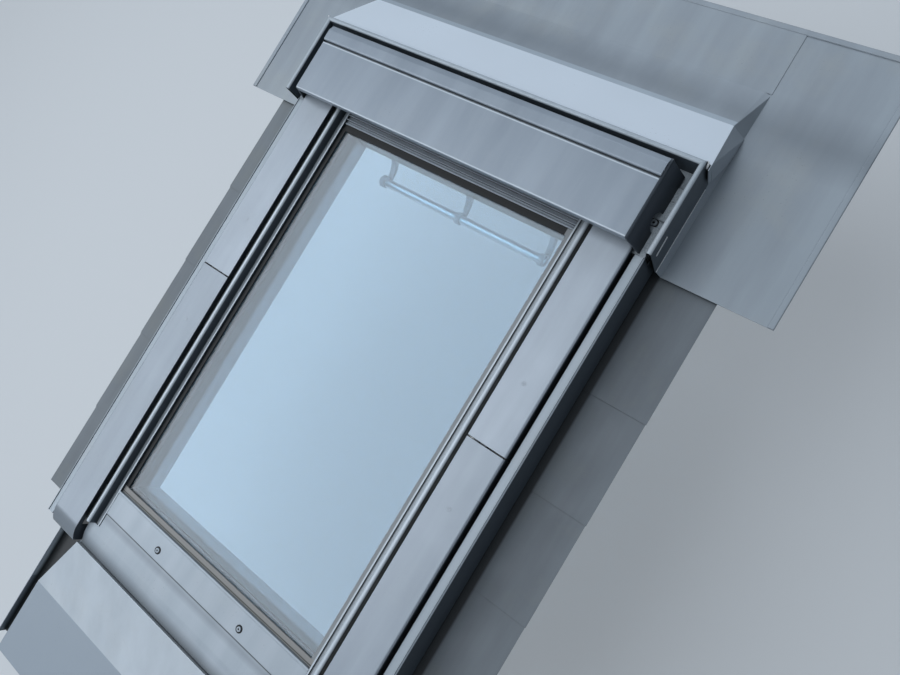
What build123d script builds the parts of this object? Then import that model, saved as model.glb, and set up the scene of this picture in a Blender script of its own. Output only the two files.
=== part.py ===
from build123d import *
import math
import os

# Roof skylight: a centre-pivot roof window with its covers and slate flashing.
# X runs across the window, Y up the slope, Z out of the roof. Z is 0 at the room face.
# The origin lies in the middle of the room face. All sizes are millimetres.

# Timber frame
frame_width = 660.0
frame_length = 978.0
stile_depth = 128.0
stile_wall = 40.0
head_wall = 21.0
sill_wall = 40.0
sill_depth = 116.0
sill_slope = 8.0
lining_groove_width = 12.0
lining_groove_depth = 6.0
lining_groove_setback = 6.0

# Sash and its place in the frame
side_gap = 4.0
head_gap = 4.0
foot_gap = 9.0
sash_stile_width = 50.0
sash_back = 40.0
sash_front = 124.0
top_rail_width = 98.0
top_rail_back = 50.4
bottom_rail_width = 54.0
sash_foot_bevel = 13.0
seal_foot = 104.0
seal_height = 8.0
seal_play = 1.5

# Double glazed unit; the covers hide the sash by these widths around the glass
pane_wall = 4.0
pane_space = 16.0
glass_face = 122.5
glass_bite = 13.0
glass_edge_gap = 4.0
glass_side_cover = 55.5
glass_foot_cover = 55.0
glass_head_cover = 105.0
spacer_width = 8.0
spacer_inset = 3.0
gasket_width = 12.0
gasket_height = 3.0

# Covers of the frame and the sash
cover_wall = 1.2
cover_top = 147.0
cover_inner_inset = 62.9
cover_overhang = 4.6
cover_lip = 10.0
cover_flange = 30.0
cover_edge_round = 4.0
cover_foot_reach = 27.0
cover_foot_drop = 11.0
cover_foot_run = 32.0
cover_under_hood = 22.0
clip_width = 24.0
clip_wall = 3.0
clip_seat_width = 32.0
clip_setback = 2.0
clip_from_split = 115.0
clip_from_end = 50.0

# Pivot: the axis lies at the split, just above the covers
split_gap = 1.6
pivot_y = 27.0
pivot_rise = 0.5
rail_inner = 36.0
rail_outer = 42.0
hinge_reach = 48.0
hinge_top_setback = 3.0
hinge_margin = 5.0
rail_end_setback = 4.2
frame_hinge_wall = 10.0
sash_hinge_wall = 8.0
groove_floor = 2.0
hinge_clearance = 0.3

# Glazing beads: a low rib at the glass, a groove, and a raised roll
bead_wall = 1.2
bead_glass_gap = 7.7
bead_sash_setback = 26.0
bead_top = 144.0
bead_rib_width = 2.8
bead_rib_height = 5.5
bead_groove_rise = 2.0
bead_roll_width = 11.0
bead_roll_lean = 2.0
bead_roll_bend = 3.0
bead_head_setback = 64.0
bead_foot_reach = 29.0

# Cover of the sash head, with two ridges in front
top_cover_wall = 0.7
top_cover_level = 128.0
top_cover_lip = 2.5
top_cover_groove = 1.6
top_cover_step = 4.0
ridge_pitch = 8.0
ridge_width = 3.0
ridge_rise = 4.0
ridge_flank = 0.6

# Strip and broad cover below the glass
band_top = 129.5
band_lap = 3.0
band_reach = 29.0
band_drop = 8.5
band_run = 26.0
band_bend = 60.0
band_half_width = 262.0
strip_ridge_height = 6.0
strip_ridge_width = 3.5
strip_ridge_drop = 1.0
strip_lap = 2.0
strip_top_level = 130.8
bottom_screw_x = 104.0
bottom_screw_setback = 14.0

# Hood, set down from the frame head by its front inset
hood_wall = 1.5
hood_front_inset = 111.0
hood_lip = 12.0
hood_lip_return = 6.0
hood_top = 184.0
hood_panel_length = 95.0
hood_groove_width = 3.0
hood_groove_depth = 4.0
hood_ledge_rise = 3.0
hood_ledge_length = 20.0
hood_slope_run = 11.0
hood_slope_drop = 6.0
hood_back_height = 44.0
hood_end_wall = 3.0
hood_end_top = 8.0
hood_end_flare = 12.0
hood_arch_radius = 16.0
hood_clip_spacing = 170.0

# Rail with a rolled bead around the hood, and its channel
flashing_wall = 1.0
channel_level = 132.0
bead_crest = 166.0
roll_width = 9.0
roll_lean = 4.0
roll_fall = 1.5
roll_bend = 3.0
rail_reach = 41.0
leg_reach = 38.5
leg_front_step = 2.5
leg_face_height = 80.0
foam_height = 3.0
foam_joint = 38.0
foam_screw_gap = 6.2
channel_screw_inset = 60.0
channel_screw_reach = 9.0
cleat_wall = 2.0
cleat_half_length = 13.0
cleat_leg = 34.0

# Head flashing: collar, saddle and wings
slate_level = 63.0
flashing_reach = 331.0
wing_reach = 219.0
wing_setback = 3.0
upstand_top = 113.0
upstand_flare = 8.0
upstand_flare_height = 21.0
collar_level = 152.0
collar_reach = 137.0
collar_foot_level = 90.0
collar_head_outset = 43.0
collar_foot_outset = 27.5
saddle_reach = 216.0
saddle_outset = 36.0
saddle_edge_outset = 47.0
tab_reach = 8.5
tab_foot_reach = 55.0
tab_bend = 15.0

# Side flashings beside the covers
strip_top = 136.5
strip_gap = 5.7
strip_width = 15.7
strip_fall = 1.0
strip_face_lean = 3.5
strip_rib_width = 1.2
strip_rib_inset = 2.4
strip_riser_lean = 2.0
side_leg_height = 18.0
side_leg_drop = 3.0
strip_tongue = 8.0
strip_foot_setback = 7.0

# Apron: hipped slope, skirt and a channel with an upright fold along each side
apron_top = 123.0
apron_top_reach = 34.0
apron_hip_inset = 60.9
apron_crease_reach = 182.0
apron_crease_width = 24.0
apron_crease_level = 62.0
apron_channel_level = 48.0
apron_hip_lean = 0.5
apron_fold_width = 42.0
apron_fold_top = 64.0
apron_fold_setback = 23.0
apron_flange_level = 100.0
apron_tongue = 70.0

# Soakers between the slate courses
soaker_count = 5
soaker_overlap = 54.0
soaker_tuck = 20.0
soaker_wall = 0.7
soaker_slant = 0.006
soaker_setback = 85.0
soaker_upstand = 52.0
soaker_level = 55.5
soaker_inner_inset = 2.5

# Roof brackets
bracket_wall = 2.5
bracket_seat = 52.0
bracket_width = 90.0
bracket_reach = 70.0
bracket_foot = 5.0
bracket_inset = 89.0
bracket_corner = 8.0
bracket_hole_radius = 3.5
bracket_hole_reach = 35.0
bracket_screw_z = 28.0

# Screws
wood_screw_radius = 2.5
wood_screw_length = 24.0
wood_screw_head = 5.0
wood_screw_head_height = 3.0
small_screw_head = 4.2
small_screw_head_height = 1.8
channel_screw_head = 5.4
channel_screw_head_height = 3.0
screw_clearance = 0.05

# Ventilation flap and control bar
flap_wall = 8.0
flap_axis_setback = 8.0
flap_side_gap = 0.5
flap_width = 82.0
flap_pin_radius = 3.0
flap_pin_length = 7.0
bar_radius = 8.0
bar_wall = 1.5
bar_end_inset = 50.0
bar_setback = 133.0
bar_z = 13.0
bar_bracket_width = 10.0
bar_bracket_inset = 8.0
ring_wall = 3.0
arm_foot_start = 4.0
arm_foot_end = 14.0
vent_slot_width = 12.0
vent_slot_start = 50.0
vent_slot_end_inset = 56.0
vent_slot_setback = 24.0

# Latch bolt and barrel bolt
bolt_gap = 0.3
latch_half_width = 8.0
latch_height = 12.0
latch_z = 72.0
latch_travel = 9.0
latch_nose = 5.0
latch_length = 31.0
latch_case_half_width = 20.0
latch_case_height = 28.0
latch_case_depth = 39.0
latch_case_play = 3.0
striker_wall = 2.5
striker_half_width = 24.0
striker_height = 34.0
striker_play = 1.0
barrel_radius = 4.0
barrel_setback = 24.0
barrel_z = 64.0
barrel_travel = 12.0
barrel_clearance = 0.1
barrel_housing_length = 40.0
barrel_housing_wall = 4.0
bush_width = 14.0
bush_length = 18.0
cleaning_angle = 160.0
knob_radius = 2.5
knob_play = 1.5
knob_reach = 6.0

# Small clearances
seat_gap = 0.3
seal_gap = 0.4

# Lines of the frame and the sash that follow from the sizes above
half_width = frame_width / 2
half_length = frame_length / 2
opening_half = half_width - stile_wall
head_face = half_length - head_wall
sill_face = sill_wall - half_length
lining_groove_z = lining_groove_setback + lining_groove_width / 2
sash_half = opening_half - side_gap
sash_inner = sash_half - sash_stile_width
sash_head = head_face - head_gap
sash_foot = sill_face + foot_gap
glass_half_width = sash_half - glass_side_cover
glass_foot = sash_foot + glass_foot_cover
glass_head = sash_head - glass_head_cover
unit_half = glass_half_width + glass_bite
unit_foot = glass_foot - glass_bite
unit_head = glass_head + glass_bite
unit_depth = 2 * pane_wall + pane_space
rebate_level = glass_face - unit_depth
top_rail_face = sash_head - top_rail_width
bottom_rail_face = sash_foot + bottom_rail_width
gasket_top = glass_face + gasket_height

# Lines of the covers and the hood
cover_inner = half_width - cover_inner_inset
cover_outer = half_width + cover_overhang
cover_foot = -half_length - cover_foot_reach
cover_under = cover_top - cover_wall
flange_foot = cover_top - cover_flange
pivot_z = cover_top + pivot_rise
hinge_top = pivot_z - hinge_top_setback
bead_inner = glass_half_width + bead_glass_gap
bead_outer = sash_half - bead_sash_setback
bead_head = sash_head - bead_head_setback
bead_foot = sash_foot - bead_foot_reach
top_cover_front = glass_head + gasket_width - seal_gap
band_head = sash_foot + band_lap - strip_lap
band_foot = -half_length - band_reach
hood_front = half_length - hood_front_inset
hood_step = hood_front + hood_panel_length
hood_half = half_width - hood_end_wall

# Lines of the flashing
leg_outer = half_width + leg_reach
leg_roll_inner = leg_outer - roll_width
leg_foot = hood_front - leg_front_step
rail_back = half_length + rail_reach
rail_roll_front = rail_back - roll_width
channel_screw_y = half_length - channel_screw_inset
channel_screw_x = half_width + channel_screw_reach
strip_edge = half_width + hood_end_wall + seat_gap
strip_inner = cover_outer + strip_gap
strip_outer = strip_inner + strip_width
wing_foot = leg_foot + wing_setback
wing_half_width = half_width + wing_reach
saddle_edge = half_width + saddle_edge_outset
apron_head = -half_length - apron_top_reach
apron_crease = -half_length - apron_crease_reach
apron_foot = -half_length - flashing_reach
flashing_head = half_length + flashing_reach
bracket_y = half_length - bracket_inset

# Lines of the flap and the bolts
flap_axis_y = sash_head - flap_axis_setback
flap_axis_z = top_rail_back - seal_gap - flap_wall / 2
flap_front = flap_axis_y - flap_width
bar_y = sash_head - bar_setback
bar_half_length = sash_inner - bar_end_inset
bar_bracket_spacing = bar_half_length - bar_bracket_inset
vent_slot_y = sash_head - vent_slot_setback
barrel_y = sash_head - barrel_setback
knob_x = sash_half - barrel_housing_length / 2 - barrel_travel / 2


def across(y):
    """Plane across the slope at y: local x is X, local y is Z, and it faces down the slope."""
    return Plane.XZ.offset(-y)


def sheet_outline(points, wall, bends, side=-1):
    """Outline and corner radii of a sheet folded along points; side -1 puts its wall on the right."""
    count = len(points)
    steps = []
    for start, end in zip(points, points[1:]):
        length = math.dist(start, end)
        steps.append(((end[0] - start[0]) / length, (end[1] - start[1]) / length))
    far = []
    near_radii = []
    far_radii = []
    for index, (u, v) in enumerate(points):
        before = steps[max(index - 1, 0)]
        after = steps[min(index, count - 2)]
        mid = (before[0] + after[0], before[1] + after[1])
        reach = 2 * wall / (mid[0] ** 2 + mid[1] ** 2)
        far.append((u - side * mid[1] * reach, v + side * mid[0] * reach))
        turn = before[0] * after[1] - before[1] * after[0]
        inner = bends[index - 1] if 0 < index < count - 1 else 0.0
        outer = inner + wall if inner > 0 else 0.0
        turns_to_wall = turn * side > 0
        near_radii.append(outer if turns_to_wall else inner)
        far_radii.append(inner if turns_to_wall else outer)
    return list(points) + far[::-1], near_radii + far_radii[::-1]


def folded(points, wall, bends=None, side=-1, sign=1):
    """Draws the section of a folded sheet in the open sketch; sign -1 mirrors it in local x."""
    corners, radii = sheet_outline(points, wall, bends or [0.0] * (len(points) - 2), side)
    with BuildLine() as outline:
        FilletPolyline(*[(sign * u, v) for u, v in corners], radius=radii, close=True)
    make_face(outline.edges())


def polygon(points, sign=1):
    """Draws a closed polygon in the open sketch; sign -1 mirrors it in local x."""
    with BuildLine() as outline:
        Polyline(*[(sign * u, v) for u, v in points], close=True)
    make_face(outline.edges())


def bar(x0, x1, y0, y1, sign=1):
    """Draws a rectangle between two corners in the open sketch; sign -1 mirrors it in local x."""
    with Locations((sign * (x0 + x1) / 2, (y0 + y1) / 2)):
        Rectangle(abs(x1 - x0), abs(y1 - y0))


def hip_plane(points, sign):
    """Plane through three points of a hip, facing outwards; sign -1 mirrors it in X."""
    first, second, third = (Vector(sign * x, y, z) for x, y, z in points)
    normal = (second - first).cross(third - first)
    return Plane(first, z_dir=normal if sign * normal.X > 0 else -normal)


def below_hips(ridge, foot, hips, inset):
    """Solid below a hipped sheet, set in by inset: its side outline, cut along the hips."""
    with BuildPart() as block:
        with BuildSketch(Plane.YZ.offset(-wing_half_width)):
            polygon([(y, z - inset) for y, z in ridge]
                    + [(ridge[-1][0], foot - inset), (ridge[0][0], foot - inset)])
        extrude(amount=2 * wing_half_width)
        for points in hips:
            for sign in (-1, 1):
                split(bisect_by=hip_plane(points, sign).offset(-inset), keep=Keep.BOTTOM)
    return block.part


def save(part, label):
    """Names a finished piece and writes it."""
    part.label = label
    export_step(part, f"parts/{label}.step")


os.makedirs("parts", exist_ok=True)
sides = (("left", -1), ("right", 1))

# Places of the barrel bolt's bushes: with the sash shut, and with it turned for cleaning
turn = math.radians(cleaning_angle)
barrel_dy = barrel_y - pivot_y
barrel_dz = barrel_z - pivot_z
cleaning_y = pivot_y + barrel_dy * math.cos(turn) + barrel_dz * math.sin(turn)
cleaning_z = pivot_z - barrel_dy * math.sin(turn) + barrel_dz * math.cos(turn)
bush_places = ((barrel_y, barrel_z), (cleaning_y, cleaning_z))

# Frame stiles, with a pocket for the hinge and a groove for the lining
hinge_foot = pivot_z - hinge_reach
for side, sign in sides:
    with BuildPart() as frame_stile:
        with BuildSketch(across(half_length)):
            bar(opening_half, half_width, 0, stile_depth, sign)
        extrude(amount=frame_length)
        with BuildSketch(across(half_length)):
            bar(opening_half, opening_half + lining_groove_depth, lining_groove_setback,
                lining_groove_setback + lining_groove_width, sign)
        extrude(amount=frame_length, mode=Mode.SUBTRACT)
        with BuildSketch(Plane.YZ.offset(sign * opening_half)):
            bar(pivot_y - hinge_reach, pivot_y + hinge_reach, hinge_foot, stile_depth)
        extrude(amount=sign * frame_hinge_wall, mode=Mode.SUBTRACT)
        with BuildSketch(Plane.YZ.offset(sign * half_width)):
            with Locations((-bracket_y, bracket_screw_z), (bracket_y, bracket_screw_z)):
                Circle(wood_screw_radius + screw_clearance)
        extrude(amount=-sign * wood_screw_length, mode=Mode.SUBTRACT)
        if sign > 0:
            with BuildSketch(Plane.YZ.offset(opening_half)):
                with Locations(*bush_places):
                    Rectangle(bush_width + screw_clearance, bush_width + screw_clearance)
            extrude(amount=bush_length, mode=Mode.SUBTRACT)
    save(frame_stile.part, f"frame_stile_{side}")

# Frame head, with the pocket of the striker plate
with BuildPart() as frame_head:
    with BuildSketch(Plane.YZ.offset(-opening_half)):
        bar(head_face, half_length, 0, stile_depth)
        with Locations((head_face + lining_groove_depth / 2, lining_groove_z)):
            Rectangle(lining_groove_depth, lining_groove_width, mode=Mode.SUBTRACT)
    extrude(amount=2 * opening_half)
    with BuildSketch(across(head_face)):
        with Locations((0, latch_z)):
            Rectangle(2 * striker_half_width, striker_height)
    extrude(amount=-striker_wall, mode=Mode.SUBTRACT)
    with BuildSketch(across(head_face)):
        with Locations((0, latch_z)):
            Rectangle(2 * (latch_half_width + striker_play), latch_height + 2 * striker_play)
    extrude(amount=-(latch_travel + striker_wall), mode=Mode.SUBTRACT)
save(frame_head.part, "frame_head")

# Striker plate with the hole for the latch bolt
with BuildPart() as striker_plate:
    with BuildSketch(across(head_face)):
        with Locations((0, latch_z)):
            Rectangle(2 * striker_half_width, striker_height)
            Rectangle(2 * latch_half_width + striker_play, latch_height + striker_play, mode=Mode.SUBTRACT)
    extrude(amount=-striker_wall)
save(striker_plate.part, "striker_plate")

# Frame sill, with a sloping outer edge
with BuildPart() as frame_sill:
    with BuildSketch(Plane.YZ.offset(-opening_half)):
        polygon([
            (-half_length, 0), (sill_face, 0), (sill_face, sill_depth),
            (-half_length + sill_slope, sill_depth), (-half_length, sill_depth - sill_slope),
        ])
        with Locations((sill_face - lining_groove_depth / 2, lining_groove_z)):
            Rectangle(lining_groove_depth, lining_groove_width, mode=Mode.SUBTRACT)
    extrude(amount=2 * opening_half)
save(frame_sill.part, "frame_sill")

# Bushes in the right stile for the barrel bolt
with BuildPart() as bolt_bushes:
    with BuildSketch(Plane.YZ.offset(opening_half)):
        with Locations(*bush_places):
            Rectangle(bush_width, bush_width)
            Circle(barrel_radius + barrel_clearance + screw_clearance, mode=Mode.SUBTRACT)
    extrude(amount=bush_length)
save(bolt_bushes.part, "bolt_bushes")

# Hinges: a plate on the frame with a curved groove, and one on the sash with a rail in that groove
for side, sign in sides:
    with BuildPart() as frame_hinge:
        with BuildSketch(Plane.YZ.offset(sign * opening_half)):
            bar(pivot_y - hinge_reach, pivot_y + hinge_reach, hinge_foot, hinge_top)
        extrude(amount=sign * frame_hinge_wall)
        with BuildSketch(Plane.YZ.offset(sign * opening_half)):
            with Locations((pivot_y, pivot_z)):
                Circle(rail_outer + hinge_clearance)
                Circle(rail_inner - hinge_clearance, mode=Mode.SUBTRACT)
        extrude(amount=sign * (frame_hinge_wall - groove_floor), mode=Mode.SUBTRACT)
    save(frame_hinge.part, f"frame_hinge_{side}")

    with BuildPart() as sash_hinge:
        with BuildSketch(Plane.YZ.offset(sign * sash_half)):
            bar(pivot_y - hinge_reach, pivot_y + hinge_reach, hinge_foot, hinge_top)
        extrude(amount=-sign * sash_hinge_wall)
        with BuildSketch(Plane.YZ.offset(sign * sash_half)):
            with Locations((pivot_y, pivot_z)):
                Circle(rail_outer)
                Circle(rail_inner, mode=Mode.SUBTRACT)
            with Locations((pivot_y, pivot_z - rail_end_setback + hinge_reach)):
                Rectangle(2 * hinge_reach, 2 * hinge_reach, mode=Mode.SUBTRACT)
        rail_depth = side_gap + frame_hinge_wall - groove_floor - hinge_clearance
        extrude(amount=sign * rail_depth)
    save(sash_hinge.part, f"sash_hinge_{side}")

# Seals on the inner faces of the frame, in pieces between the hinges and the corners
seal_split = hinge_reach + hinge_margin
with BuildPart() as frame_seal:
    with BuildSketch(Plane.XY.offset(seal_foot)):
        for side, sign in sides:
            bar(sash_half + seal_gap, opening_half, sill_face, pivot_y - seal_split, sign)
            bar(sash_half + seal_gap, opening_half, pivot_y + seal_split, head_face, sign)
        bar(-sash_half, sash_half, sash_head + seal_gap, head_face)
        bar(-sash_half, sash_half, sill_face, sash_foot - seal_play)
    extrude(amount=seal_height)
save(frame_seal.part, "frame_seal")

# Upper covers, fixed on the frame from the split to below the hood
cover_head = hood_front + cover_under_hood
upper_foot = pivot_y + split_gap / 2
cover_section = [
    (cover_inner, cover_top - cover_lip), (cover_inner, cover_top),
    (cover_outer, cover_top), (cover_outer, flange_foot),
]
for side, sign in sides:
    with BuildPart() as upper_cover:
        with BuildSketch(across(cover_head)):
            folded(cover_section, cover_wall, [0.0, cover_edge_round - cover_wall], sign=sign)
        extrude(amount=cover_head - upper_foot)
        with BuildSketch(across(cover_head)):
            bar(half_width, cover_outer + cover_wall, 0, channel_level + foam_height + seat_gap, sign)
        extrude(amount=cover_head - leg_foot + seat_gap, mode=Mode.SUBTRACT)
    save(upper_cover.part, f"upper_cover_{side}")

# Lower covers, fixed on the sash, with a foot that curves down
lower_head = pivot_y - split_gap / 2
foot_bend_y = cover_foot + cover_foot_run


def cover_side(inset, head):
    """Draws the side outline of a lower cover: flat top, then a curve down to the foot."""
    top = cover_top - inset
    foot = cover_foot + inset
    foot_top = cover_top - cover_foot_drop - inset
    below = flange_foot - inset
    with BuildLine() as outline:
        Polyline((foot, below), (head, below), (head, top), (foot_bend_y, top))
        TangentArc((foot_bend_y, top), (foot, foot_top), tangent=(-1, 0))
        Line((foot, foot_top), (foot, below))
    make_face(outline.edges())


for side, sign in sides:
    with BuildPart() as lower_cover:
        with BuildSketch(Plane.YZ.offset(sign * cover_inner)):
            cover_side(0, lower_head)
        extrude(amount=sign * (cover_outer - cover_inner))
        outer_edge = lower_cover.edges().filter_by(Axis.Y).group_by(Axis.Z)[-1].sort_by(Axis.X)
        fillet(outer_edge[-1 if sign > 0 else 0], radius=cover_edge_round)
        with BuildSketch(Plane.YZ.offset(sign * (cover_inner + cover_wall))):
            cover_side(cover_wall, lower_head + cover_wall)
        extrude(amount=sign * (cover_outer - cover_inner - 2 * cover_wall), mode=Mode.SUBTRACT)
        with BuildSketch(across(lower_head)):
            bar(cover_inner, cover_inner + cover_wall, flange_foot, cover_top - cover_lip, sign)
        extrude(amount=lower_head - foot_bend_y, mode=Mode.SUBTRACT)
    save(lower_cover.part, f"lower_cover_{side}")

# Timber sash stiles: rebate of the glass, pocket for the hinge, pin holes for the flap, barrel bolt bore
for side, sign in sides:
    with BuildPart() as sash_stile:
        with BuildSketch(Plane.YZ.offset(sign * sash_inner)):
            polygon([
                (sash_foot + sash_foot_bevel, sash_back), (sash_head, sash_back),
                (sash_head, sash_front), (sash_foot, sash_front),
            ])
        extrude(amount=sign * sash_stile_width)
        with BuildSketch(Plane.XY.offset(rebate_level)):
            bar(sash_inner, unit_half + glass_edge_gap, unit_foot - glass_edge_gap,
                unit_head + glass_edge_gap, sign)
        extrude(amount=stile_depth, mode=Mode.SUBTRACT)
        with BuildSketch(Plane.YZ.offset(sign * sash_half)):
            bar(pivot_y - hinge_reach, pivot_y + hinge_reach, hinge_foot, stile_depth)
        extrude(amount=-sign * sash_hinge_wall, mode=Mode.SUBTRACT)
        with BuildSketch(Plane.YZ.offset(sign * sash_inner)):
            with Locations((flap_axis_y, flap_axis_z)):
                Circle(flap_pin_radius + screw_clearance)
        extrude(amount=sign * (flap_pin_length + seat_gap), mode=Mode.SUBTRACT)
        if sign > 0:
            housing_half = barrel_radius + barrel_housing_wall
            with BuildSketch(Plane.YZ.offset(sash_half)):
                bar(barrel_y - housing_half, barrel_y + housing_half, barrel_z - housing_half,
                    barrel_z + housing_half)
            extrude(amount=-barrel_housing_length, mode=Mode.SUBTRACT)
            with BuildSketch(Plane.XY.offset(sash_back)):
                bar(knob_x - knob_radius - knob_play, knob_x + barrel_travel + knob_radius + knob_play,
                    barrel_y - knob_radius - knob_play, barrel_y + knob_radius + knob_play)
            extrude(amount=barrel_z - sash_back, mode=Mode.SUBTRACT)
    save(sash_stile.part, f"sash_stile_{side}")

# Top rail: a lip under the glass, two slots for the ventilation and a pocket for the latch case
vent_slot_end = sash_inner - vent_slot_end_inset
vent_slot_length = vent_slot_end - vent_slot_start
vent_slot_x = (vent_slot_start + vent_slot_end) / 2
vent_places = ((-vent_slot_x, vent_slot_y), (vent_slot_x, vent_slot_y))
with BuildPart() as sash_top_rail:
    with BuildSketch(Plane.YZ.offset(-sash_inner)):
        polygon([
            (top_rail_face, top_rail_back), (sash_head, top_rail_back), (sash_head, sash_front),
            (unit_head + glass_edge_gap, sash_front), (unit_head + glass_edge_gap, rebate_level),
            (top_rail_face, rebate_level),
        ])
    extrude(amount=2 * sash_inner)
    with BuildSketch(Plane.XY.offset(top_rail_back)):
        with Locations(*vent_places):
            Rectangle(vent_slot_length, vent_slot_width)
    extrude(amount=stile_depth, mode=Mode.SUBTRACT)
    with BuildSketch(across(sash_head)):
        with Locations((0, latch_z)):
            Rectangle(2 * latch_case_half_width, latch_case_height)
    extrude(amount=latch_case_depth, mode=Mode.SUBTRACT)
save(sash_top_rail.part, "sash_top_rail")

# Bottom rail, bevelled so that it clears the sill as the sash turns
bottom_rail_top = band_top - cover_wall
with BuildPart() as sash_bottom_rail:
    with BuildSketch(Plane.YZ.offset(-sash_inner)):
        polygon([
            (sash_foot + sash_foot_bevel, sash_back), (bottom_rail_face, sash_back),
            (bottom_rail_face, rebate_level), (unit_foot - glass_edge_gap, rebate_level),
            (unit_foot - glass_edge_gap, bottom_rail_top),
            (sash_foot, bottom_rail_top), (sash_foot, sash_front),
        ])
    extrude(amount=2 * sash_inner)
save(sash_bottom_rail.part, "sash_bottom_rail")

# Double glazed unit: two panes and the spacer between their edges
unit_width = 2 * unit_half
unit_length = unit_head - unit_foot
unit_mid = (unit_head + unit_foot) / 2
for label, level in (("pane_inner", rebate_level), ("pane_outer", glass_face - pane_wall)):
    with BuildPart() as pane:
        with BuildSketch(Plane.XY.offset(level)):
            with Locations((0, unit_mid)):
                Rectangle(unit_width, unit_length)
        extrude(amount=pane_wall)
    save(pane.part, label)

with BuildPart() as spacer:
    with BuildSketch(Plane.XY.offset(rebate_level + pane_wall)):
        with Locations((0, unit_mid)):
            Rectangle(unit_width - 2 * spacer_inset, unit_length - 2 * spacer_inset)
            frame_step = 2 * (spacer_inset + spacer_width)
            Rectangle(unit_width - frame_step, unit_length - frame_step, mode=Mode.SUBTRACT)
    extrude(amount=pane_space)
save(spacer.part, "spacer")

with BuildPart() as glazing_gasket:
    with BuildSketch(Plane.XY.offset(glass_face)):
        bar(-glass_half_width - gasket_width, glass_half_width + gasket_width,
            glass_foot - gasket_width, glass_head + gasket_width)
        with Locations((0, (glass_foot + glass_head) / 2)):
            Rectangle(2 * glass_half_width, glass_head - glass_foot, mode=Mode.SUBTRACT)
    extrude(amount=gasket_height)
save(glazing_gasket.part, "glazing_gasket")

# Beads along the glass
rib_end = bead_inner + bead_rib_width
groove_level = gasket_top + bead_groove_rise
roll_foot = bead_outer - bead_roll_width
bead_section = [
    (bead_inner, gasket_top), (bead_inner, gasket_top + bead_rib_height),
    (rib_end, gasket_top + bead_rib_height), (rib_end, groove_level), (roll_foot, groove_level),
    (roll_foot + bead_roll_lean, bead_top), (bead_outer, bead_top), (bead_outer, sash_front),
]
bead_bends = [0, 0, 0, 0, bead_roll_bend, bead_roll_bend]
for side, sign in sides:
    with BuildPart() as bead:
        with BuildSketch(across(bead_head)):
            folded(bead_section, bead_wall, bead_bends, sign=sign)
        extrude(amount=bead_head - bead_foot)
    save(bead.part, f"bead_{side}")

# Cover of the sash head, with two ridges in front; its corners are cut out for the beads
top_cover_half = sash_half - seal_play
first_ridge = top_cover_front + top_cover_step + ridge_width
groove_top = top_cover_level - top_cover_groove
ridge_top = groove_top + ridge_rise
top_cover_section = [
    (top_cover_front, gasket_top), (top_cover_front, top_cover_level),
    (top_cover_front + top_cover_lip, top_cover_level), (top_cover_front + top_cover_step, groove_top),
]
for start in (first_ridge, first_ridge + ridge_pitch):
    top_cover_section += [
        (start, groove_top), (start + ridge_flank, ridge_top),
        (start + ridge_width - ridge_flank, ridge_top), (start + ridge_width, groove_top),
    ]
top_cover_section += [
    (sash_head - seal_play, groove_top), (sash_head - seal_play, sash_front),
]
with BuildPart() as sash_top_cover:
    with BuildSketch(Plane.YZ.offset(-top_cover_half)):
        folded(top_cover_section, top_cover_wall)
    extrude(amount=2 * top_cover_half)
    with BuildSketch(Plane.XY.offset(sash_front)):
        with Locations(*vent_places):
            Rectangle(vent_slot_length, vent_slot_width)
        for side, sign in sides:
            bar(bead_inner - seal_gap, sash_half, glass_head, bead_head + seal_gap, sign)
    extrude(amount=stile_depth, mode=Mode.SUBTRACT)
save(sash_top_cover.part, "sash_top_cover")

# Strip below the glass, with a ridge at the glass
strip_head = glass_foot - gasket_width + bead_wall
strip_step = sash_foot - strip_lap
strip_half = bead_inner - seal_gap
ridge_back = strip_head - strip_ridge_width
ridge_level = gasket_top + strip_ridge_height
with BuildPart() as bottom_bead:
    with BuildSketch(Plane.YZ.offset(-strip_half)):
        folded([
            (strip_head, gasket_top), (strip_head, ridge_level), (ridge_back, ridge_level),
            (ridge_back - strip_ridge_drop, ridge_level - strip_ridge_drop),
            (strip_step, strip_top_level), (strip_step, band_top),
        ], bead_wall, side=1)
    extrude(amount=2 * strip_half)
save(bottom_bead.part, "bottom_bead")

# Heads of the two screws of the bottom strip
bottom_screw_y = sash_foot + bottom_screw_setback
with BuildPart() as bottom_screws:
    with BuildSketch(Plane.XY.offset(strip_top_level)):
        with Locations((-bottom_screw_x, bottom_screw_y), (bottom_screw_x, bottom_screw_y)):
            Circle(small_screw_head)
    extrude(amount=small_screw_head_height)
save(bottom_screws.part, "bottom_screws")

# Broad cover below the strip, curving down to its lip; its corners are cut out for the beads
with BuildPart() as bottom_cover:
    with BuildSketch(Plane.YZ.offset(-band_half_width)):
        folded([
            (band_head, band_top), (band_foot + band_run, band_top), (band_foot, band_top - band_drop),
        ], cover_wall, [band_bend], side=1)
    extrude(amount=2 * band_half_width)
    with BuildSketch(Plane.XY.offset(band_top - cover_wall)):
        for side, sign in sides:
            bar(strip_half, half_width, bead_foot - seal_gap, band_head, sign)
    extrude(amount=stile_depth, mode=Mode.SUBTRACT)
save(bottom_cover.part, "bottom_cover")

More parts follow.
